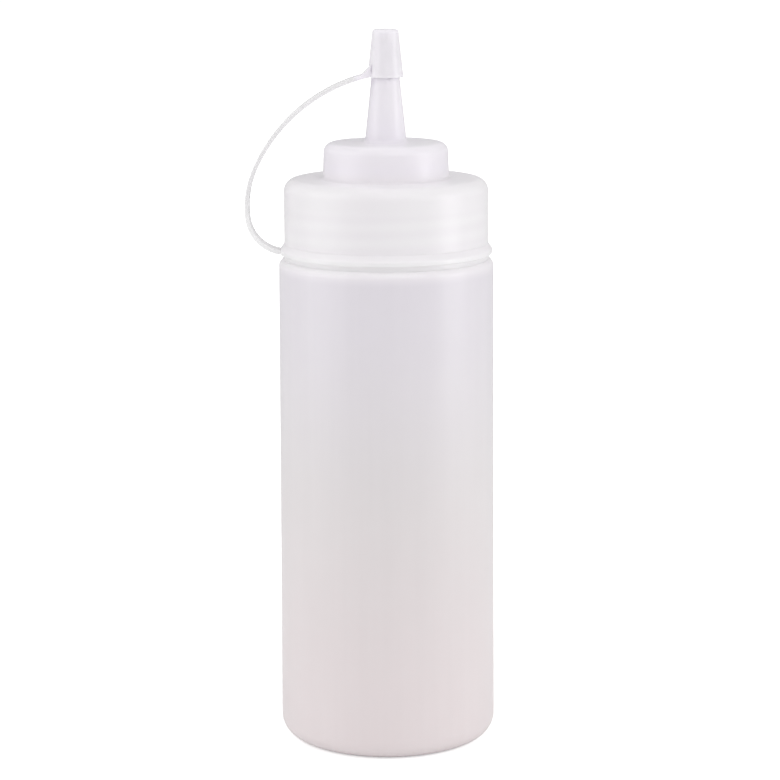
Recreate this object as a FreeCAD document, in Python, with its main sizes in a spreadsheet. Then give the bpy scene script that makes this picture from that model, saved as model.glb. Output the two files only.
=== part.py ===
# Wide-mouth squeeze bottle for dressings: a blow-moulded bottle, and a screw lid that is moulded
# in one piece with its nozzle, its strap and its tip cap. It stands empty, with the nozzle shut.
#
# Millimetres, +Z up. The origin is the centre of the ring that the bottle stands on, so Z is the
# axis of the bottle and the lid. The strap lies in the XZ plane and bows out on the -X side.
import FreeCAD, Part
import Sketcher
from FreeCAD import Vector
import math
import os

# ------------------------------------------------------------------ driving dimensions
SIZES = [
    # bottle
    ("body_radius", 29.5, "outside of the wall, half way up"),
    ("body_draft", 0.25, "how much more that is at the foot, and less at the shoulder"),
    ("shoulder_height", 134.1, "floor to the flat of the shoulder"),
    ("bottle_wall", 1.0, "blown wall, the same all over"),
    ("heel_radius", 5.5, "outside corner at the foot"),
    ("shoulder_radius", 2.2, "outside corner at the shoulder"),
    ("standing_ring_width", 2.6, "flat ring that the bottle stands on"),
    ("push_up_height", 2.4, "how far the middle of the base is pushed up"),
    ("push_up_run", 5.0, "width of the slope from the ring to the raised middle"),
    ("push_up_round", 2.0, "corners at both ends of that slope"),
    ("neck_fillet", 1.2, "corner between the shoulder and the neck"),
    ("neck_rim_round", 0.25, "rounding of the neck's rim"),
    # lid
    ("lid_inset", 1.75, "how far the skirt stands inside the body's wall"),
    ("lid_wall", 1.4, "moulded wall of the skirt, the top and the drum"),
    ("lid_gap", 0.25, "from the shoulder up to the lid's lower edge"),
    ("thread_gap", 1.15, "radial room between neck and skirt, where the threads mesh"),
    ("skirt_height", 21.45, "lid's lower edge to the flat of its top"),
    ("skirt_edge_radius", 3.4, "outside corner at the top of the skirt"),
    ("skirt_inner_radius", 0.9, "inside corner at the top of the skirt"),
    ("lip_height", 0.85, "how far the lid goes on below the bead"),
    ("lip_projection", 0.25, "how far that lip stands out from the skirt"),
    ("bead_projection", 1.15, "how far the bead stands out from the skirt"),
    ("bead_face", 1.3, "upright face of the bead"),
    ("bead_slope", 1.7, "height over which the bead runs back to the skirt"),
    ("bead_round", 0.5, "rounding of the bead's two outer corners"),
    ("lead_in", 0.5, "chamfer inside the lid's lower edge"),
    ("drum_radius", 17.15, "outside of the drum where it meets the lid's top"),
    ("drum_draft", 0.35, "how much smaller the drum is at its top"),
    ("drum_height", 9.7, "flat of the lid's top to the flat of the drum"),
    ("drum_edge_radius", 2.6, "outside corner of the drum"),
    ("drum_inner_radius", 1.2, "inside corner of the drum"),
    ("drum_foot_fillet", 0.7, "corner between the lid's top and the drum"),
    # nozzle
    ("nozzle_base_radius", 5.7, "outside of the nozzle at the drum, without its fillet"),
    ("nozzle_tip_radius", 2.7, "outside of the nozzle at its tip"),
    ("nozzle_height", 28.2, "flat of the drum to the tip"),
    ("nozzle_wall", 1.25, "wall of the nozzle"),
    ("nozzle_foot_fillet", 1.3, "corner between the drum and the nozzle"),
    # tip cap
    ("cap_height", 12.8, "height of the tip cap"),
    ("cap_overlap", 10.7, "length of the nozzle that the tip cap covers"),
    ("cap_clearance", 0.1, "radial room between the tip cap's bore and the nozzle"),
    ("cap_wall", 0.95, "wall of the tip cap at its mouth"),
    ("cap_roof", 1.3, "end wall of the tip cap"),
    ("cap_top_radius", 3.5, "outside of the tip cap at its top"),
    ("cap_edge_radius", 0.9, "outside corner at the top of the tip cap"),
    # strap
    ("strap_thickness", 1.2, "thickness of the strap"),
    ("strap_width", 6.0, "width of the strap, along Y"),
    ("strap_rise", 0.7, "tip cap's mouth up to the middle of the strap's end"),
    ("strap_root_bend", 10.6, "bend radius next to the bead, at mid thickness"),
    ("strap_back_bend", 25.8, "bend radius at the back of the loop, at mid thickness"),
    ("strap_root_angle", 10.0, "climb of the strap where it leaves the bead"),
    ("strap_cap_angle", 12.0, "climb of the strap where it reaches the tip cap"),
    ("strap_web", 1.0, "size of the web between the strap and the side of the tip cap"),
]

doc = FreeCAD.newDocument("squeeze_bottle")
sheet = doc.addObject("Spreadsheet::Sheet", "Sizes")
for row, (name, value, meaning) in enumerate(SIZES, start=1):
    sheet.set("A%d" % row, name)
    sheet.set("B%d" % row, str(value))
    sheet.set("C%d" % row, meaning)
    sheet.setAlias("B%d" % row, name)
doc.recompute()


class Size:
    """A size as a number, together with the spreadsheet expression that gives it."""

    def __init__(self, value, text):
        self.value = value
        self.text = text

    def joined(self, other, sign, value):
        right = other.text if isinstance(other, Size) else str(other)
        return Size(value, "(%s %s %s)" % (self.text, sign, right))

    def __add__(self, other):
        return self.joined(other, "+", self.value + number(other))

    def __sub__(self, other):
        return self.joined(other, "-", self.value - number(other))

    def __mul__(self, other):
        return self.joined(other, "*", self.value * number(other))

    def __truediv__(self, other):
        return self.joined(other, "/", self.value / number(other))


def number(size):
    """The plain number of a Size, or of a number."""
    return size.value if isinstance(size, Size) else float(size)


def cell(name):
    """The Size in the spreadsheet cell that has this alias."""
    return Size(float(sheet.get(name)), "Sizes." + name)


def bind(thing, prop, size):
    """Set a property from a Size, and bind it to the spreadsheet."""
    if not prop.startswith("Constraints"):
        setattr(thing, prop, size.value)
    thing.setExpression(prop, size.text)


# ------------------------------------------------------------------ sketches and features
def new_body(label):
    body = doc.addObject("PartDesign::Body", label + "_body")
    body.Label = label
    body.Placement = FreeCAD.Placement()
    return body


def origin_feature(body, role):
    return next(f for f in body.Origin.OriginFeatures if f.Role == role)


def new_sketch(body, name):
    """An empty sketch on the body's XZ plane: its x is the radius, its y is the height."""
    sketch = body.newObject("Sketcher::SketchObject", name)
    sketch.AttachmentSupport = [(origin_feature(body, "XZ_Plane"), "")]
    sketch.MapMode = "FlatFace"
    return sketch


def outline(body, name, corners):
    """A closed sketch of straight lines through (radius, height) corners, all bound."""
    sketch = new_sketch(body, name)
    points = [Vector(number(r), number(z), 0) for r, z in corners]
    count = len(points)
    for i, point in enumerate(points):
        sketch.addGeometry(Part.LineSegment(point, points[(i + 1) % count]), False)
    for i in range(count):
        sketch.addConstraint(Sketcher.Constraint("Coincident", i, 2, (i + 1) % count, 1))
    for i, (r, z) in enumerate(corners):
        if number(r) == 0.0:
            sketch.addConstraint(Sketcher.Constraint("PointOnObject", i, 1, -2))
        else:
            pin(sketch, "DistanceX", i, r)
        pin(sketch, "DistanceY", i, z)
    return sketch


def pin(sketch, kind, line, size):
    """Hold the start of a line at a bound distance from the sketch's origin."""
    index = sketch.addConstraint(Sketcher.Constraint(kind, -1, 1, line, 1, number(size)))
    if isinstance(size, Size):
        bind(sketch, "Constraints[%d]" % index, size)
    elif number(size) != 0.0:
        raise ValueError("a size that isn't in the spreadsheet")


def turned(body, kind, name, sketch):
    """A full turn of the sketch about Z: a Revolution adds it, a Groove cuts it away."""
    before = body.Shape.Volume if body.Tip else 0.0
    feature = body.newObject("PartDesign::" + kind, name)
    feature.Profile = sketch
    feature.ReferenceAxis = (sketch, ["V_Axis"])
    feature.Angle = 360.0
    doc.recompute()
    added = feature.Shape.Volume - before
    if added * (-1 if kind == "Groove" else 1) <= 0.0:
        raise RuntimeError(name + " went the wrong way")
    return feature


def padded(body, name, sketch, width):
    """The sketch thickened to both sides of the XZ plane."""
    feature = body.newObject("PartDesign::Pad", name)
    feature.Profile = sketch
    feature.Midplane = True
    bind(feature, "Length", width)
    doc.recompute()
    return feature


def ring_edges(shape, rings):
    """Names of the circular edges about Z at these (radius, height) places."""
    found = []
    for r, z in rings:
        for i, edge in enumerate(shape.Edges, start=1):
            if not isinstance(edge.Curve, Part.Circle):
                continue
            centre = edge.Curve.Center
            at_height = abs(centre.z - number(z)) < 1e-4 and math.hypot(centre.x, centre.y) < 1e-4
            if at_height and abs(edge.Curve.Radius - number(r)) < 1e-4:
                found.append("Edge%d" % i)
                break
        else:
            raise RuntimeError("no edge at radius %.3f, height %.3f" % (number(r), number(z)))
    return found


def rounded(body, name, radius, rings):
    """A fillet on circular edges about Z."""
    base = body.Tip
    feature = body.newObject("PartDesign::Fillet", name)
    feature.Base = (base, ring_edges(base.Shape, rings))
    bind(feature, "Radius", radius)
    doc.recompute()
    return feature


# ------------------------------------------------------------------ heights and radii in common
body_radius = cell("body_radius")
foot_radius = body_radius + cell("body_draft")
shoulder_edge = body_radius - cell("body_draft")
shoulder = cell("shoulder_height")
lid_foot = shoulder + cell("lid_gap")
bead_foot = lid_foot + cell("lip_height")
lid_top = lid_foot + cell("skirt_height")
seat = lid_top - cell("lid_wall")
drum_top = lid_top + cell("drum_height")
drum_ceiling = drum_top - cell("lid_wall")
nozzle_tip = drum_top + cell("nozzle_height")
cap_foot = nozzle_tip - cell("cap_overlap")
cap_top = cap_foot + cell("cap_height")
cap_ceiling = cap_top - cell("cap_roof")

skirt_radius = body_radius - cell("lid_inset")
skirt_bore = skirt_radius - cell("lid_wall")
neck_radius = skirt_bore - cell("thread_gap")
lip_radius = skirt_radius + cell("lip_projection")
bead_radius = skirt_radius + cell("bead_projection")
drum_radius = cell("drum_radius")
drum_top_radius = drum_radius - cell("drum_draft")
nozzle_base = cell("nozzle_base_radius")
nozzle_end = cell("nozzle_tip_radius")
nozzle_taper = (nozzle_base - nozzle_end) / cell("nozzle_height")
nozzle_at_cap = nozzle_end + nozzle_taper * cell("cap_overlap")
nozzle_past_tip = nozzle_end - nozzle_taper * (cap_ceiling - nozzle_tip)
cap_bore = nozzle_at_cap + cell("cap_clearance")
cap_bore_end = nozzle_past_tip + cell("cap_clearance")
cap_radius = cap_bore + cell("cap_wall")


# ------------------------------------------------------------------ bottle
def make_bottle():
    """Turned outside, then shelled from the open neck down to one even wall."""
    body = new_body("bottle")
    ring_inside = foot_radius - cell("heel_radius") - cell("standing_ring_width")
    middle = ring_inside - cell("push_up_run")
    push_up = cell("push_up_height")
    outside = outline(body, "bottle_outline", [
        (0, push_up),
        (middle, push_up),
        (ring_inside, 0),
        (foot_radius, 0),
        (shoulder_edge, shoulder),
        (neck_radius, shoulder),
        (neck_radius, seat),
        (0, seat),
    ])
    turned(body, "Revolution", "bottle_solid", outside)
    rounded(body, "heel", cell("heel_radius"), [(foot_radius, 0)])
    rounded(body, "shoulder", cell("shoulder_radius"), [(shoulder_edge, shoulder)])
    rounded(body, "neck_foot", cell("neck_fillet"), [(neck_radius, shoulder)])
    rounded(body, "push_up", cell("push_up_round"), [(middle, push_up), (ring_inside, 0)])

    solid = body.Tip
    mouth = next("Face%d" % i for i, face in enumerate(solid.Shape.Faces, start=1)
                 if abs(face.CenterOfMass.z - seat.value) < 1e-4)
    shell = body.newObject("PartDesign::Thickness", "wall")
    shell.Base = (solid, [mouth])
    shell.Mode = "Skin"
    shell.Join = "Arc"
    shell.Reversed = True
    bind(shell, "Value", cell("bottle_wall"))
    doc.recompute()
    if not shell.Shape.Volume < 0.3 * solid.Shape.Volume:
        raise RuntimeError("the bottle isn't hollow")

    mouth_radius = neck_radius - cell("bottle_wall")
    rounded(body, "neck_rim", cell("neck_rim_round"), [(neck_radius, seat), (mouth_radius, seat)])
    return body


# ------------------------------------------------------------------ lid
# share of the strap's whole turn that is done where each of its arcs begins and ends
STRAP_TURN_SHARES = [0.0, 0.47, 0.665, 0.853, 1.0]


def strap_route():
    """Points, directions and radii of the strap's four tangent arcs, at mid thickness.

    The strap leaves the bead outwards (-X), turns up over the root bend and the back bend, and
    eases over to the tip cap. The last two radii are worked out so that it ends at the cap.
    """
    start = Vector(-bead_radius.value, 0, bead_foot.value + cell("strap_thickness").value / 2)
    end = Vector(-cap_bore.value, 0, cap_foot.value + cell("strap_rise").value)
    first = math.radians(180.0 - cell("strap_root_angle").value)
    last = math.radians(cell("strap_cap_angle").value)
    headings = [first + (last - first) * share for share in STRAP_TURN_SHARES]
    steps = [unit_arc(headings[i], headings[i + 1]) for i in range(4)]
    radii = [cell("strap_root_bend").value, cell("strap_back_bend").value]
    rest = end - start - steps[0] * radii[0] - steps[1] * radii[1]
    third, fourth = steps[2], steps[3]
    area = third.x * fourth.z - third.z * fourth.x
    radii.append((rest.x * fourth.z - rest.z * fourth.x) / area)
    radii.append((third.x * rest.z - third.z * rest.x) / area)
    return start, headings, steps, radii


def unit_arc(heading, next_heading):
    """Where a clockwise arc of radius 1 leads, from one direction to the next."""
    return Vector(math.sin(heading) - math.sin(next_heading), 0,
                  math.cos(next_heading) - math.cos(heading))


def strap_sketch(body):
    """The strap seen from the front: two rows of tangent arcs, one thickness apart."""
    sketch = new_sketch(body, "strap_outline")
    half = cell("strap_thickness").value / 2
    start, headings, steps, radii = strap_route()
    rows = {half: [], -half: []}
    for heading, turned_to, step, radius in zip(headings, headings[1:], steps, radii):
        centre = start + Vector(math.sin(heading), 0, -math.cos(heading)) * radius
        for side, arcs in rows.items():
            circle = Part.Circle(Vector(centre.x, centre.z, 0), Vector(0, 0, 1), radius + side)
            arcs.append(Part.ArcOfCircle(circle, turned_to + math.pi / 2, heading + math.pi / 2))
        start = start + step * radius
    outer, inner = rows[half], rows[-half]
    pieces = outer + inner
    # both ends run on level: the foot to mid bead, the head as far as the nozzle's wall
    foot_end = -(bead_radius.value + skirt_bore.value) / 2
    head_end = -nozzle_at_cap.value + cell("nozzle_wall").value
    for low, high, x in ((outer[0].EndPoint, inner[0].EndPoint, foot_end),
                         (inner[-1].StartPoint, outer[-1].StartPoint, head_end)):
        level = max(low.y, bead_foot.value)
        corners = [low, Vector(x, level, 0), Vector(x, high.y, 0), high]
        pieces += [Part.LineSegment(a, b) for a, b in zip(corners, corners[1:])]
    for i, piece in enumerate(pieces):
        sketch.addGeometry(piece, False)
        sketch.addConstraint(Sketcher.Constraint("Block", i))
    return sketch


def add_cap_web(body):
    """Fills the corner between the tip cap's wall and the upper side of the strap."""
    middle = cap_foot + cell("strap_rise")
    drop = cell("strap_thickness") / 2 + cell("strap_web")
    web = outline(body, "cap_web_outline", [
        ((cap_radius + drop) * -1, middle),
        (cap_bore * -1, middle + drop + cell("cap_wall")),
        (cap_bore * -1, middle),
    ])
    padded(body, "cap_web", web, cell("strap_width"))


def make_lid():
    """Turned outside with strap and cap joined on, then hollowed from below."""
    body = new_body("lid")
    wall = cell("lid_wall")
    bead_top = bead_foot + cell("bead_face")
    outside = outline(body, "lid_outline", [
        (0, lid_foot),
        (lip_radius, lid_foot),
        (lip_radius, bead_foot),
        (bead_radius, bead_foot),
        (bead_radius, bead_top),
        (skirt_radius, bead_top + cell("bead_slope")),
        (skirt_radius, lid_top),
        (drum_radius, lid_top),
        (drum_top_radius, drum_top),
        (nozzle_base, drum_top),
        (nozzle_at_cap, cap_foot),
        (cap_radius, cap_foot),
        (cell("cap_top_radius"), cap_top),
        (0, cap_top),
    ])
    turned(body, "Revolution", "lid_solid", outside)
    rounded(body, "skirt_edge", cell("skirt_edge_radius"), [(skirt_radius, lid_top)])
    rounded(body, "drum_foot", cell("drum_foot_fillet"), [(drum_radius, lid_top)])
    rounded(body, "drum_edge", cell("drum_edge_radius"), [(drum_top_radius, drum_top)])
    rounded(body, "nozzle_foot", cell("nozzle_foot_fillet"), [(nozzle_base, drum_top)])
    rounded(body, "cap_edge", cell("cap_edge_radius"), [(cell("cap_top_radius"), cap_top)])
    rounded(body, "bead_edges", cell("bead_round"), [(bead_radius, bead_foot), (bead_radius, bead_top)])

    padded(body, "strap", strap_sketch(body), cell("strap_width"))
    add_cap_web(body)

    bore_base = nozzle_base - cell("nozzle_wall")
    bore_end = nozzle_end - cell("nozzle_wall")
    drum_bore = drum_radius - wall
    drum_bore_end = drum_top_radius - wall
    hollow = outline(body, "hollow_outline", [
        (0, lid_foot),
        (skirt_bore + cell("lead_in"), lid_foot),
        (skirt_bore, lid_foot + cell("lead_in")),
        (skirt_bore, seat),
        (drum_bore, seat),
        (drum_bore_end, drum_ceiling),
        (bore_base, drum_ceiling),
        (bore_end, nozzle_tip),
        (0, nozzle_tip),
    ])
    turned(body, "Groove", "hollow", hollow)
    # the sliver of air between the nozzle and the tip cap that is pressed over it
    fit = outline(body, "cap_fit_outline", [
        (0, nozzle_tip),
        (nozzle_end, nozzle_tip),
        (nozzle_at_cap, cap_foot),
        (cap_bore, cap_foot),
        (cap_bore_end, cap_ceiling),
        (0, cap_ceiling),
    ])
    turned(body, "Groove", "cap_fit", fit)
    rounded(body, "skirt_inside", cell("skirt_inner_radius"), [(skirt_bore, seat)])
    rounded(body, "drum_inside", cell("drum_inner_radius"), [(drum_bore_end, drum_ceiling)])
    return body


# ------------------------------------------------------------------ build, test and write
bodies = [make_bottle(), make_lid()]
doc.recompute()
failed = [thing.Name for thing in doc.Objects if {"Invalid", "Error"} & set(thing.State)]
if failed:
    raise RuntimeError("features that failed: " + ", ".join(failed))
for body in bodies:
    shape = body.Shape
    if shape.isNull() or not shape.isValid() or len(shape.Solids) != 1:
        raise RuntimeError(body.Label + " isn't one valid solid")
    print("%s: %.1f mm3, %d faces" % (body.Label, shape.Volume, len(shape.Faces)))
route = strap_route()
print("strap radii: " + ", ".join("%.1f" % radius for radius in route[3]))

os.makedirs("parts", exist_ok=True)
for body in bodies:
    body.Shape.exportStep("parts/%s.step" % body.Label)
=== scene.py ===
# %% [markdown]
# # A squeeze bottle of natural LDPE
#
# The bottle is blown, and the lid is injection-moulded in one piece with its nozzle, its strap
# and its tip cap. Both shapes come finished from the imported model. This lesson cuts the screw
# thread that joins them, gives every piece its plastic, and lights them in a small white studio.
# Blender works in metres. A length is written in millimetres and multiplied by MM.

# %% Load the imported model
import math

import bpy
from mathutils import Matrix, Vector


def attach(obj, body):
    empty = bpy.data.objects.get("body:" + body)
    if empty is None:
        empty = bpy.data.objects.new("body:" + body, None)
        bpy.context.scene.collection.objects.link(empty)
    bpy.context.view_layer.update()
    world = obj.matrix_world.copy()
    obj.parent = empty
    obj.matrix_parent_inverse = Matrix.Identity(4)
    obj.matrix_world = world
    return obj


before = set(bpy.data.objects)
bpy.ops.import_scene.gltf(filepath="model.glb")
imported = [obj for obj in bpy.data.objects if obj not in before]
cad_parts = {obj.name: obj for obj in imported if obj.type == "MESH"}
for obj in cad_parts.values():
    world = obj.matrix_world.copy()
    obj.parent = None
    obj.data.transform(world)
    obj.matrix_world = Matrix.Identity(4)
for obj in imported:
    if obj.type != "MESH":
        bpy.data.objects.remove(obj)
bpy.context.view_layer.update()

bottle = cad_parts["bottle"]
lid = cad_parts["lid"]
MM = 0.001

# %% [markdown]
# Four helpers serve every material. `linear` turns an sRGB hex colour, as a painter reads it,
# into the linear numbers that a shader uses. `add_node` adds one node, sets it up and links it,
# so that each material below reads as the list of its nodes. The other two open an empty
# material and put it on a piece.


# %% Colour and node helpers
def linear(hex_colour):
    """Red, green, blue and alpha of an sRGB hex colour, linear by the sRGB standard's curve."""
    channels = [int(hex_colour[i:i + 2], 16) / 255 for i in (0, 2, 4)]
    return [c / 12.92 if c <= 0.04045 else ((c + 0.055) / 1.055) ** 2.4 for c in channels] + [1.0]


def add_node(tree, kind, settings=None, inputs=None):
    """One node. An input is a number, a colour, or the output socket of another node."""
    node = tree.nodes.new("ShaderNode" + kind)
    for name, value in (settings or {}).items():
        setattr(node, name, value)
    for name, value in (inputs or {}).items():
        if isinstance(value, bpy.types.NodeSocket):
            tree.links.new(value, node.inputs[name])
        else:
            node.inputs[name].default_value = value
    return node


def empty_material(name):
    """A material with nothing in it yet, and its node tree."""
    material = bpy.data.materials.new(name)
    material.use_nodes = True
    material.node_tree.nodes.clear()
    return material, material.node_tree


def dress(piece, material):
    """Give a piece this material in its one slot. A new piece gets the slot with it."""
    if not piece.material_slots:
        piece.data.materials.append(material)
    piece.material_slots[0].material = material


print("white paper F8F8F8 is", [round(c, 3) for c in linear("F8F8F8")])

# %% [markdown]
# The camera stands almost three quarters of a metre in front and a little above the lid, and
# looks down by about eleven degrees. A short lens from nearer would show the lid much wider than
# the foot, so a long one of 124 mm keeps the sides of the bottle nearly parallel, as catalogues
# like it. It is tilted by a fifth of a degree, as a tripod set by hand is.

# %% Camera
CAMERA_PLACE = Vector((1.40, -727.3, 235.65)) * MM
CAMERA_DOWN = math.radians(10.78)
CAMERA_TILT = math.radians(0.22)
SENSOR_WIDTH_MM = 36.0
LENS_MM = 124.2

camera_data = bpy.data.cameras.new("camera")
camera_data.sensor_width = SENSOR_WIDTH_MM
camera_data.lens = LENS_MM
camera = bpy.data.objects.new("camera", camera_data)
bpy.context.scene.collection.objects.link(camera)
camera.location = CAMERA_PLACE
camera.rotation_euler = (math.pi / 2 - CAMERA_DOWN, CAMERA_TILT, 0.0)
bpy.context.scene.camera = camera
print("camera looks down by %.1f degrees" % math.degrees(CAMERA_DOWN))

# %% [markdown]
# The screw thread holds the lid on, and it draws the faint level bands in the skirt. One ridge
# stands on the bottle's neck and one inside the lid, and each reaches between the other's turns.
# A ridge could be a bent curve with a bevel, or a cut with a boolean. The Screw modifier is the
# honest tool: it sweeps one cross-section up a helix at the real pitch. Both ridges are
# right-handed, and the lid's runs half a pitch above the neck's.

# %% Thread sizes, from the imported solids
PITCH = 4.23 * MM
TURNS = 3
STEPS_PER_TURN = 96
RIDGE_HEIGHT = 0.9 * MM
RIDGE_CREST = 0.9 * MM
RIDGE_FOOT = 2.2 * MM
SUNK_IN_WALL = 0.15 * MM
NECK_RADIUS = 25.2 * MM
SKIRT_BORE = 26.35 * MM
NECK_RIDGE_START = 138.1 * MM
SMOOTH_BELOW = math.radians(40)
print("thread: %d turns at %.2f mm" % (TURNS, PITCH / MM))

# %% [markdown]
# On a real mould the thread fades into the wall over the last few degrees, because a blunt end
# would catch. The sweep below is made of rings of four corners. The crest of the last eight rings
# at each end is pulled in towards the wall, one ring after another, and then both ends are closed.

# %% Run-out of a ridge
SECTION_CORNERS = 4
RUN_OUT_STEPS = 8
LAST_STEP_SHARE = 0.3
SAME_RADIUS = 0.01 * MM


def run_out(ridge, foot_radius, crest_radius):
    """Lower the crest to the foot over the last steps at each end, and close both ends."""
    rings = len(ridge.data.vertices) // SECTION_CORNERS
    for step in range(RUN_OUT_STEPS):
        share = (step + LAST_STEP_SHARE) / RUN_OUT_STEPS
        shrink = (foot_radius + (crest_radius - foot_radius) * share) / crest_radius
        ends = (step, rings - 1 - step)
        bpy.ops.object.mode_set(mode="EDIT")
        bpy.ops.mesh.select_all(action="DESELECT")
        bpy.ops.object.mode_set(mode="OBJECT")
        for vertex in ridge.data.vertices:
            at_crest = abs(math.hypot(vertex.co.x, vertex.co.y) - crest_radius) < SAME_RADIUS
            vertex.select = vertex.index // SECTION_CORNERS in ends and at_crest
        bpy.ops.object.mode_set(mode="EDIT")
        bpy.ops.transform.resize(value=(shrink, shrink, 1.0), center_override=(0, 0, 0))
        bpy.ops.object.mode_set(mode="OBJECT")
    bpy.ops.object.mode_set(mode="EDIT")
    bpy.ops.mesh.select_all(action="SELECT")
    bpy.ops.mesh.fill_holes(sides=SECTION_CORNERS)
    bpy.ops.mesh.normals_make_consistent(inside=False)
    bpy.ops.object.mode_set(mode="OBJECT")


print("run-out over %.0f degrees" % (360 * RUN_OUT_STEPS / STEPS_PER_TURN))

# %% [markdown]
# The cross-section is a trapezium: narrow at the crest, wide at the foot, with flanks that lean
# by about 30 degrees, so that the part comes out of its mould. A plane has the four corners that
# this needs. It is stood up at its radius, scaled to the section's height and to the foot's
# width, and its crest is then drawn together. The face is taken away, and the outline that is
# left is swept round the axis, climbing by one pitch a turn.


# %% A swept outline
def sweep(name, foot, crest, height, pitch, turns):
    """Sweep a trapezium round Z. Foot and crest are (radius, width), height its middle."""
    foot_radius, foot_width = foot
    crest_radius, crest_width = crest
    middle = ((foot_radius + crest_radius) / 2, 0, height)
    bpy.ops.object.select_all(action="DESELECT")
    bpy.ops.mesh.primitive_plane_add(size=1.0, location=middle, rotation=(math.pi / 2, 0, 0))
    piece = bpy.context.object
    piece.name = name
    bpy.ops.object.transform_apply(location=True, rotation=True, scale=True)
    section = (abs(crest_radius - foot_radius), 1.0, foot_width)
    bpy.ops.object.mode_set(mode="EDIT")
    bpy.ops.mesh.select_all(action="SELECT")
    bpy.ops.transform.resize(value=section, center_override=middle)
    bpy.ops.mesh.select_all(action="DESELECT")
    bpy.ops.object.mode_set(mode="OBJECT")
    for corner in piece.data.vertices:
        corner.select = abs(corner.co.x - crest_radius) < SAME_RADIUS
    bpy.ops.object.mode_set(mode="EDIT")
    bpy.ops.transform.resize(value=(1.0, 1.0, crest_width / foot_width), center_override=middle)
    bpy.ops.mesh.select_all(action="SELECT")
    bpy.ops.mesh.delete(type="ONLY_FACE")
    bpy.ops.object.mode_set(mode="OBJECT")
    screw = piece.modifiers.new("sweep", "SCREW")
    screw.axis = "Z"
    screw.angle = math.tau
    screw.screw_offset = pitch
    screw.iterations = turns
    screw.steps = STEPS_PER_TURN
    screw.render_steps = STEPS_PER_TURN
    screw.use_merge_vertices = pitch == 0  # a sweep with no climb closes on itself
    bpy.ops.object.modifier_apply(modifier=screw.name)
    return piece


def thread_ridge(name, wall_radius, outward, start):
    """A helical ridge on a wall, sunk into it a little and run out flat at both ends."""
    foot_radius = wall_radius - outward * SUNK_IN_WALL
    crest_radius = wall_radius + outward * RIDGE_HEIGHT
    foot, crest = (foot_radius, RIDGE_FOOT), (crest_radius, RIDGE_CREST)
    ridge = sweep(name, foot, crest, start, PITCH, TURNS)
    run_out(ridge, foot_radius, crest_radius)
    bpy.ops.object.shade_smooth_by_angle(angle=SMOOTH_BELOW)
    return ridge


neck_thread = thread_ridge("neck_thread", NECK_RADIUS, 1, NECK_RIDGE_START)
lid_thread = thread_ridge("lid_thread", SKIRT_BORE, -1, NECK_RIDGE_START + PITCH / 2)
for ridge, slot in ((neck_thread, "bottle_plastic"), (lid_thread, "lid_plastic")):
    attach(ridge, "root")
    print(ridge.name, len(ridge.data.polygons), "faces")

# %% [markdown]
# The lid's lower edge comes down on a low ring on the bottle's shoulder. It closes the crease
# under the bead: without it one would look into the dark room between neck and skirt. It could
# be cut from a tube, but it is the thread's sweep again with one turn and no climb. It is sunk a
# little into the shoulder below and into the lid's edge above.

# %% Rest ring
REST_INSIDE, REST_OUTSIDE = 27.0 * MM, 27.95 * MM
REST_TALL = 0.7 * MM
REST_MIDDLE = 134.05 * MM

rest_ring = sweep(
    "rest_ring", (REST_INSIDE, REST_TALL), (REST_OUTSIDE, REST_TALL), REST_MIDDLE, 0, 1)
bpy.ops.object.mode_set(mode="EDIT")
bpy.ops.mesh.select_all(action="SELECT")
bpy.ops.mesh.normals_make_consistent(inside=False)
bpy.ops.object.mode_set(mode="OBJECT")
bpy.ops.object.shade_smooth_by_angle(angle=SMOOTH_BELOW)
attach(rest_ring, "root")
print("rest ring", len(rest_ring.data.polygons), "faces,", len(rest_ring.data.vertices), "corners")

# %% [markdown]
# Natural LDPE has no pigment. It is a soft, waxy, half-crystalline plastic, and its crystals
# scatter the light that goes in, so a thin wall is milky: some light comes back out near where
# it went in, and some goes on through to the far wall. Frosted glass would show the far wall as
# a blur, and a matt paint would let nothing through. Subsurface scattering on the real walls of
# 1.0 to 1.4 mm is nearest to what the plastic does. The plastic itself is almost white, and the
# grey of a thin wall is the light that has gone through it. LDPE has an IOR of 1.51, and light
# goes about a millimetre before a crystal turns it. Round the crease under the lid the plastic
# lies in three layers, one on another. Little light is lost through them, so nearly all of it
# comes back: a scatter length of a fifth of a millimetre does that, and keeps the crease light.
#
# `wax` is the shader both plastics end in. `mould_grain` gives each its surface: the mould was
# sand-blasted so that the soft plastic lets go of it. That gives the eye a soft sheen with no
# sharp highlight, which a roughness of about 0.3 makes, and a fine grain. Real grit leaves pits
# of about a tenth of a millimetre, too fine to show from here, so the grain is drawn at about a
# millimetre, and very shallow. `clouding` is the unevenness of plastic that cools a little
# faster here than there, in patches of 30 mm.
#
# One colour or number fades into another over a length. A Map Range node makes that step, eased
# at both ends, so it has no edge. A Mix node's colour sockets share their names with its other
# kinds of socket, so they go by number.

# %% What both plastics share
LDPE_IOR = 1.51
SCATTER = 1.0 * MM
SCATTER_AT_CREASE = 0.2 * MM
CLOUD = 30 * MM
CLOUDS_LOW, CLOUDS_HIGH = 0.2, 0.8
CLOUDED, CLEAR = 0.985, 1.0
EASED = {"interpolation_type": "SMOOTHSTEP"}
COLOURS = {"data_type": "RGBA"}
SHARE, FIRST, SECOND, MIXED = 0, 6, 7, 2


def clouding(tree, place):
    """A faint unevenness of the plastic, as a share of its brightness."""
    clouds = add_node(tree, "TexNoise", inputs={"Vector": place, "Scale": 1 / CLOUD, "Detail": 2.0})
    cloud = add_node(tree, "MapRange", EASED, {
        "Value": clouds.outputs["Fac"], "From Min": CLOUDS_LOW, "From Max": CLOUDS_HIGH,
        "To Min": CLOUDED, "To Max": CLEAR})
    return cloud.outputs["Result"]


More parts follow.
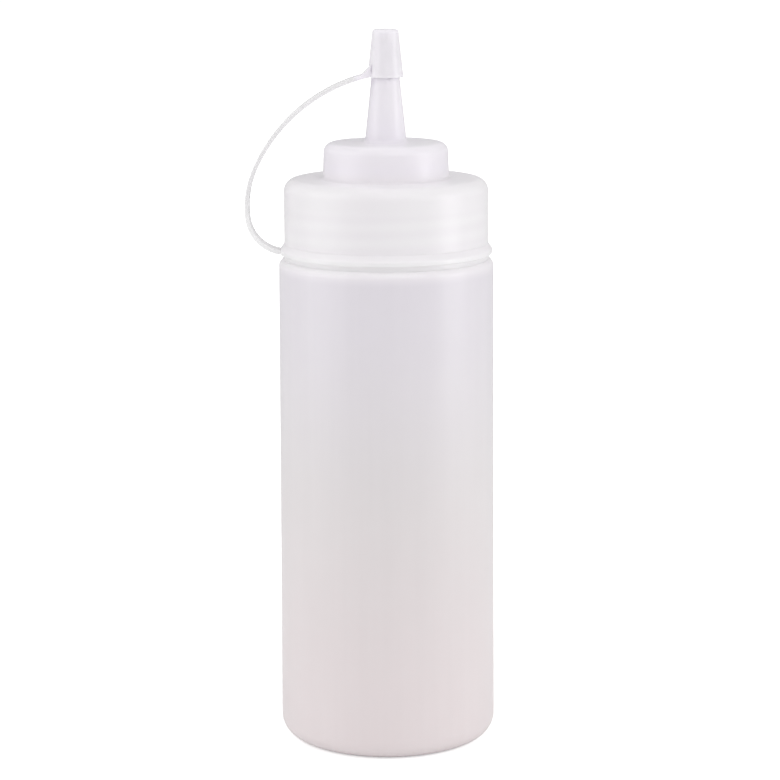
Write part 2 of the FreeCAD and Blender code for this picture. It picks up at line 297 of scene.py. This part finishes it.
def mould_grain(tree, place, grain, grain_depth):
    """The grain of a blasted mould, as a bump."""
    blasting = add_node(tree, "TexNoise", inputs={"Vector": place, "Scale": 1 / grain, "Detail": 3.0})
    bump = add_node(tree, "Bump", inputs={"Height": blasting.outputs["Fac"], "Distance": grain_depth})
    return bump.outputs["Normal"]


def wax(tree, colour, level, normal, roughness, scatter):
    """Polyethylene under its skin: light wanders in it and comes out near by."""
    tint = add_node(tree, "VectorMath", {"operation": "SCALE"}, {0: colour, "Scale": level})
    plastic = add_node(tree, "BsdfPrincipled", inputs={
        "Base Color": tint.outputs["Vector"],
        "Roughness": roughness,
        "IOR": LDPE_IOR,
        "Subsurface Weight": 1.0,
        "Subsurface Radius": (1.0, 1.0, 1.0),
        "Subsurface Scale": scatter,
        "Normal": normal,
    })
    add_node(tree, "OutputMaterial", inputs={"Surface": plastic.outputs["BSDF"]})


print("scatter length %.1f mm" % (SCATTER / MM))

# %% [markdown]
# ## The blown bottle
#
# A tube of hot plastic is let down between two mould halves and blown out to the wall. The tube
# is stretched by its own weight, so it is thicker low down and thinner at the shoulder, which is
# cooler and greyer. The foot's warmer tint is painted warm light, as from a lamp low in front.
# The shoulder's edge, under the lid, is painted nearly white: painted light that lifts the shade
# in the crease there and paints a highlight along the edge. The wall could be modelled thick and
# thin, but differences this small are simpler to steer as tints. Three steps up the height make
# them, each mixed over the last.

# %% Tints of the blown bottle
# Painted warm light: the foot's tint is warmed as if a warm lamp stood low in front.
FOOT_PAINTED_WARM_LIGHT = linear("EEE5E6")
BLOWN_MIDDLE = linear("E9E5E6")
BLOWN_SHOULDER = linear("EBE7ED")
# Painted light: a near-white that lifts the shade in the crease under the lid and paints a highlight
# on the shoulder's edge.
PAINTED_CREASE_LIGHT = linear("F9F5F9")
FOOT_UP_TO, MIDDLE_FROM = 5 * MM, 90 * MM
MIDDLE_UP_TO, SHOULDER_FROM = 65 * MM, 130 * MM
EDGE_FROM, EDGE_TO = 129.8 * MM, 134.0 * MM

blown, tree = empty_material("natural_ldpe_blown")
place = add_node(tree, "TexCoord").outputs["Object"]
height = add_node(tree, "SeparateXYZ", inputs={"Vector": place}).outputs["Z"]
plastic = FOOT_PAINTED_WARM_LIGHT
for tint_above, low, high in (
        (BLOWN_MIDDLE, FOOT_UP_TO, MIDDLE_FROM),
        (BLOWN_SHOULDER, MIDDLE_UP_TO, SHOULDER_FROM),
        (PAINTED_CREASE_LIGHT, EDGE_FROM, EDGE_TO)):
    share = add_node(tree, "MapRange", EASED, {"Value": height, "From Min": low, "From Max": high})
    mix = add_node(tree, "Mix", COLOURS, {
        SHARE: share.outputs["Result"], FIRST: plastic, SECOND: tint_above})
    plastic = mix.outputs[MIXED]
scatter = add_node(tree, "MapRange", EASED, {
    "Value": height, "From Min": EDGE_FROM, "From Max": EDGE_TO,
    "To Min": SCATTER, "To Max": SCATTER_AT_CREASE})
print(blown.name, len(tree.nodes), "nodes for the tints")

# %% [markdown]
# The ring that the hot tube is pressed through leaves faint upright lines, 3 mm apart and very
# long: a noise that is stretched along the height. They are differences of thickness, so they
# are a tone here. As a bump they would glint like scratches. With the clouding they darken the
# plastic by about two parts in a hundred. The grain of the mould finishes it.

# %% Lines, grain and shader of the blown bottle
DRAW_LINE, DRAW_LINE_LENGTH = 3 * MM, 90 * MM
LINES_LOW, LINES_HIGH = 0.35, 0.65
DRAWN, UNDRAWN = 0.992, 1.0
BLOWN_GRAIN = 1.2 * MM
BLOWN_GRAIN_DEPTH = 0.010 * MM
BLOWN_ROUGHNESS = 0.30

drawn_out = add_node(tree, "Mapping", inputs={
    "Vector": place, "Scale": (1 / DRAW_LINE, 1 / DRAW_LINE, 1 / DRAW_LINE_LENGTH)})
lines = add_node(tree, "TexNoise", inputs={
    "Vector": drawn_out.outputs["Vector"], "Scale": 1.0, "Detail": 1.0})
draw = add_node(tree, "MapRange", EASED, {
    "Value": lines.outputs["Fac"], "From Min": LINES_LOW, "From Max": LINES_HIGH,
    "To Min": DRAWN, "To Max": UNDRAWN})
level = add_node(tree, "Math", {"operation": "MULTIPLY"}, {
    0: draw.outputs["Result"], 1: clouding(tree, place)})
normal = mould_grain(tree, place, BLOWN_GRAIN, BLOWN_GRAIN_DEPTH)
wax(tree, plastic, level.outputs["Value"], normal, BLOWN_ROUGHNESS, scatter.outputs["Result"])
dress(bottle, blown)
dress(neck_thread, blown)
dress(rest_ring, blown)
print(blown.name, len(tree.nodes), "nodes")

# %% [markdown]
# ## The moulded lid
#
# The lid is shot into a closed mould, so its walls are even and its surface finer. The skirt
# stands round the neck: two thick walls behind each other, so it is the whitest part. The lip
# under it is painted as white as the bottle's shoulder edge: painted light that lifts the shade
# in the crease under the bead. The drum, the nozzle and the tip cap are hollow and take a cool
# tinge from the room. Each could have a material of its own, but they are one moulding, and edges
# between materials would show. Height alone tells them apart, in soft steps.

# %% Tints of the skirt, the lip and the hollow top
SKIRT_WHITE = linear("F7F3F7")
HOLLOW_COOL = linear("F4F0F9")
SKIRT_TOP_LOW, SKIRT_TOP_HIGH = 154 * MM, 160 * MM
LIP_LOW, LIP_HIGH = 135.2 * MM, 137.2 * MM

moulded, tree = empty_material("natural_ldpe_moulded")
place = add_node(tree, "TexCoord").outputs["Object"]
xyz = add_node(tree, "SeparateXYZ", inputs={"Vector": place})
height = xyz.outputs["Z"]
hollow = add_node(tree, "MapRange", EASED, {
    "Value": height, "From Min": SKIRT_TOP_LOW, "From Max": SKIRT_TOP_HIGH})
walls = add_node(tree, "Mix", COLOURS, {
    SHARE: hollow.outputs["Result"], FIRST: SKIRT_WHITE, SECOND: HOLLOW_COOL})
# The lip under the bead gets the same painted crease light, faded out above it.
above_lip = add_node(tree, "MapRange", EASED, {
    "Value": height, "From Min": LIP_LOW, "From Max": LIP_HIGH})
lip_painted_light = add_node(tree, "Mix", COLOURS, {
    SHARE: above_lip.outputs["Result"], FIRST: PAINTED_CREASE_LIGHT, SECOND: walls.outputs[MIXED]})
scatter = add_node(tree, "MapRange", EASED, {
    "Value": height, "From Min": LIP_LOW, "From Max": LIP_HIGH,
    "To Min": SCATTER_AT_CREASE, "To Max": SCATTER})
print(moulded.name, len(tree.nodes), "nodes for the tints")

# %% [markdown]
# The strap is a thin ribbon with nothing behind it, and looks a plain grey against a white room,
# milkier low down where it runs into the bead. It is what stands out beside the skirt, and, over
# the drum, what stands out beside the nozzle. The distance from the axis and the height tell
# where that is, so nothing has to be painted on by hand.

# %% Tint of the strap
RIBBON_GREY = linear("ECEBEC")
RIBBON_BY_BEAD = linear("F8F8F8")
RIBBON_FROM, RIBBON_TO = 28.7 * MM, 29.7 * MM
RIBBON_LOW, RIBBON_HIGH = 140 * MM, 154 * MM
DRUM_TOP_LOW, DRUM_TOP_HIGH = 166.5 * MM, 167.5 * MM
BY_NOZZLE, BY_RIBBON = 7.5 * MM, 9.5 * MM

flat_place = add_node(tree, "CombineXYZ", inputs={"X": xyz.outputs["X"], "Y": xyz.outputs["Y"]})
radius = add_node(tree, "VectorMath", {"operation": "LENGTH"}, {
    0: flat_place.outputs["Vector"]}).outputs["Value"]
beside_skirt = add_node(tree, "MapRange", EASED, {
    "Value": radius, "From Min": RIBBON_FROM, "From Max": RIBBON_TO})
above_drum = add_node(tree, "MapRange", EASED, {
    "Value": height, "From Min": DRUM_TOP_LOW, "From Max": DRUM_TOP_HIGH})
beside_nozzle = add_node(tree, "MapRange", EASED, {
    "Value": radius, "From Min": BY_NOZZLE, "From Max": BY_RIBBON})
over_lid = add_node(tree, "Math", {"operation": "MULTIPLY"}, {
    0: above_drum.outputs["Result"], 1: beside_nozzle.outputs["Result"]})
ribbon = add_node(tree, "Math", {"operation": "MAXIMUM"}, {
    0: beside_skirt.outputs["Result"], 1: over_lid.outputs["Value"]})
up_the_strap = add_node(tree, "MapRange", EASED, {
    "Value": height, "From Min": RIBBON_LOW, "From Max": RIBBON_HIGH})
strap = add_node(tree, "Mix", COLOURS, {
    SHARE: up_the_strap.outputs["Result"], FIRST: RIBBON_BY_BEAD, SECOND: RIBBON_GREY})
plastic = add_node(tree, "Mix", COLOURS, {
    SHARE: ribbon.outputs["Value"], FIRST: lip_painted_light.outputs[MIXED], SECOND: strap.outputs[MIXED]})
print(moulded.name, len(tree.nodes), "nodes with the strap")

# %% [markdown]
# Behind the skirt the ridges of the thread show in bands that climb by one pitch a turn: the lid's
# own ridge makes the wall thicker and milkier, and both ridges cast faint shade through it. The
# ridges are there, but they show so little through the wall that the band is painted too, as
# painted shade and light. It is a sine of height less angle: a step of one pitch up, or one turn
# round, comes back to the same place in the wave. It is faded out where the thread ends.

# %% Bands of the thread, grain and shader of the lid
# Painted shade and light: how far the bands darken and lighten the plastic.
THREAD_BAND_SHADE = 0.012
BAND_PHASE = -2.76
BANDS_START, BANDS_FULL = 137.6 * MM, 139.4 * MM
BANDS_FADE, BANDS_END = 147.6 * MM, 149.8 * MM
MOULDED_GRAIN = 0.8 * MM
MOULDED_GRAIN_DEPTH = 0.004 * MM
MOULDED_ROUGHNESS = 0.28

turn = add_node(tree, "Math", {"operation": "ARCTAN2"}, {0: xyz.outputs["Y"], 1: xyz.outputs["X"]})
rise = add_node(tree, "Math", {"operation": "MULTIPLY_ADD"}, {
    0: height, 1: math.tau / PITCH, 2: BAND_PHASE})
climb = add_node(tree, "Math", {"operation": "SUBTRACT"}, {
    0: rise.outputs["Value"], 1: turn.outputs["Value"]})
wave = add_node(tree, "Math", {"operation": "SINE"}, {0: climb.outputs["Value"]})
begun = add_node(tree, "MapRange", EASED, {
    "Value": height, "From Min": BANDS_START, "From Max": BANDS_FULL})
ended = add_node(tree, "MapRange", EASED, {
    "Value": height, "From Min": BANDS_FADE, "From Max": BANDS_END,
    "To Min": THREAD_BAND_SHADE, "To Max": 0.0})
shown = add_node(tree, "Math", {"operation": "MULTIPLY"}, {
    0: begun.outputs["Result"], 1: ended.outputs["Result"]})
level = add_node(tree, "Math", {"operation": "MULTIPLY_ADD"}, {
    0: wave.outputs["Value"], 1: shown.outputs["Value"], 2: clouding(tree, place)})
normal = mould_grain(tree, place, MOULDED_GRAIN, MOULDED_GRAIN_DEPTH)
wax(tree, plastic.outputs[MIXED], level.outputs["Value"], normal, MOULDED_ROUGHNESS,
    scatter.outputs["Result"])
dress(lid, moulded)
dress(lid_thread, moulded)
print(moulded.name, len(tree.nodes), "nodes")

# %% [markdown]
# ## The studio
#
# The bottle stands on white paper that runs away to a white wall. If paper and wall were really
# that bright all round, the plastic would be over-lit and lose its shape, so the Light Path node
# lets the camera see a brighter white than the plastic is lit by. Close to the foot the paper
# keeps its real tone, and with it the soft contact shadow. Paper has no sheen, so it is a plain
# diffuse white with that glow added.

# %% Paper floor
PAPER = linear("F8F8F8")
PAPER_SIDE = 8.0
SHADOW_WITHIN, WHITE_BEYOND = 45 * MM, 240 * MM
GLOW_AT_FOOT, GLOW_BEYOND = 0.55, 1.0

white_paper, tree = empty_material("white_paper")
sheet = add_node(tree, "BsdfDiffuse", inputs={"Color": PAPER})
place = add_node(tree, "TexCoord").outputs["Object"]
distance = add_node(tree, "VectorMath", {"operation": "LENGTH"}, {0: place})
white = add_node(tree, "MapRange", EASED, {
    "Value": distance.outputs["Value"], "From Min": SHADOW_WITHIN, "From Max": WHITE_BEYOND,
    "To Min": GLOW_AT_FOOT, "To Max": GLOW_BEYOND})
seen = add_node(tree, "LightPath").outputs["Is Camera Ray"]
glow = add_node(tree, "Math", {"operation": "MULTIPLY"}, {0: seen, 1: white.outputs["Result"]})
backlight = add_node(tree, "Emission", inputs={"Strength": glow.outputs["Value"]})
lit_paper = add_node(tree, "AddShader", inputs={
    0: sheet.outputs["BSDF"], 1: backlight.outputs["Emission"]})
add_node(tree, "OutputMaterial", inputs={"Surface": lit_paper.outputs["Shader"]})
bpy.ops.object.select_all(action="DESELECT")
bpy.ops.mesh.primitive_plane_add(size=PAPER_SIDE, location=(0, 0, 0))
floor = bpy.context.object
floor.name = "paper_floor"
dress(floor, white_paper)
print("paper floor %.0f m wide" % PAPER_SIDE)

# %% [markdown]
# The wall is far off and out of focus on a real set, so it needs no mesh: the world is the white
# wall and the soft light of the room in one. It lights the bottle at 0.6 and is seen at a little
# over 1, which stays pure white. The Standard view keeps every hex colour as it was chosen.

# %% White room
ROOM_LIGHT = 0.6
WALL_SEEN = 1.05

room = bpy.data.worlds.new("white_room")
bpy.context.scene.world = room
room.use_nodes = True
tree = room.node_tree
tree.nodes.clear()
seen = add_node(tree, "LightPath").outputs["Is Camera Ray"]
level = add_node(tree, "MapRange", inputs={
    "Value": seen, "To Min": ROOM_LIGHT, "To Max": WALL_SEEN})
backdrop = add_node(tree, "Background", inputs={
    "Color": linear("FFFFFF"), "Strength": level.outputs["Result"]})
add_node(tree, "OutputWorld", inputs={"Surface": backdrop.outputs["Background"]})
bpy.context.scene.view_settings.view_transform = "Standard"
print("the room lights at %.2f and is seen at %.2f" % (ROOM_LIGHT, WALL_SEEN))

# %% [markdown]
# Four softboxes shape the round walls. Bare lamps would make hard shadows and small hot spots,
# and these are large and near, so no shadow has a hard edge. A broad one on the left gives the
# wide, faint band of light there, a narrow one on the right the brighter streak, one high in
# front lifts the middle of the body, and one overhead the level faces of the lid. The right one
# stands low and far to the side, because seen from behind, the level faces would mirror a higher
# one as a white glare.


# %% Softboxes
def softbox(name, place_mm, size_mm, watts, aim_mm):
    """A rectangular area light, turned to a point, that the camera itself doesn't see."""
    data = bpy.data.lights.new(name, "AREA")
    data.shape = "RECTANGLE"
    data.size, data.size_y = size_mm[0] * MM, size_mm[1] * MM
    data.energy = watts
    lamp = bpy.data.objects.new(name, data)
    bpy.context.scene.collection.objects.link(lamp)
    lamp.location = Vector(place_mm) * MM
    aim = Vector(aim_mm) * MM - lamp.location
    lamp.rotation_euler = aim.to_track_quat("-Z", "Y").to_euler()
    lamp.visible_camera = False
    print(name, "%.1f W" % watts)


softbox("left_box", place_mm=(-600, -190, 450), size_mm=(550, 900), watts=1.45, aim_mm=(0, 0, 450))
softbox("right_box", place_mm=(600, -170, 250), size_mm=(280, 500), watts=0.88, aim_mm=(0, 0, 250))
softbox("front_box", place_mm=(250, -700, 800), size_mm=(700, 500), watts=1.3, aim_mm=(0, 0, 110))
softbox("top_box", place_mm=(0, 0, 1100), size_mm=(900, 900), watts=1.3, aim_mm=(0, 0, 0))
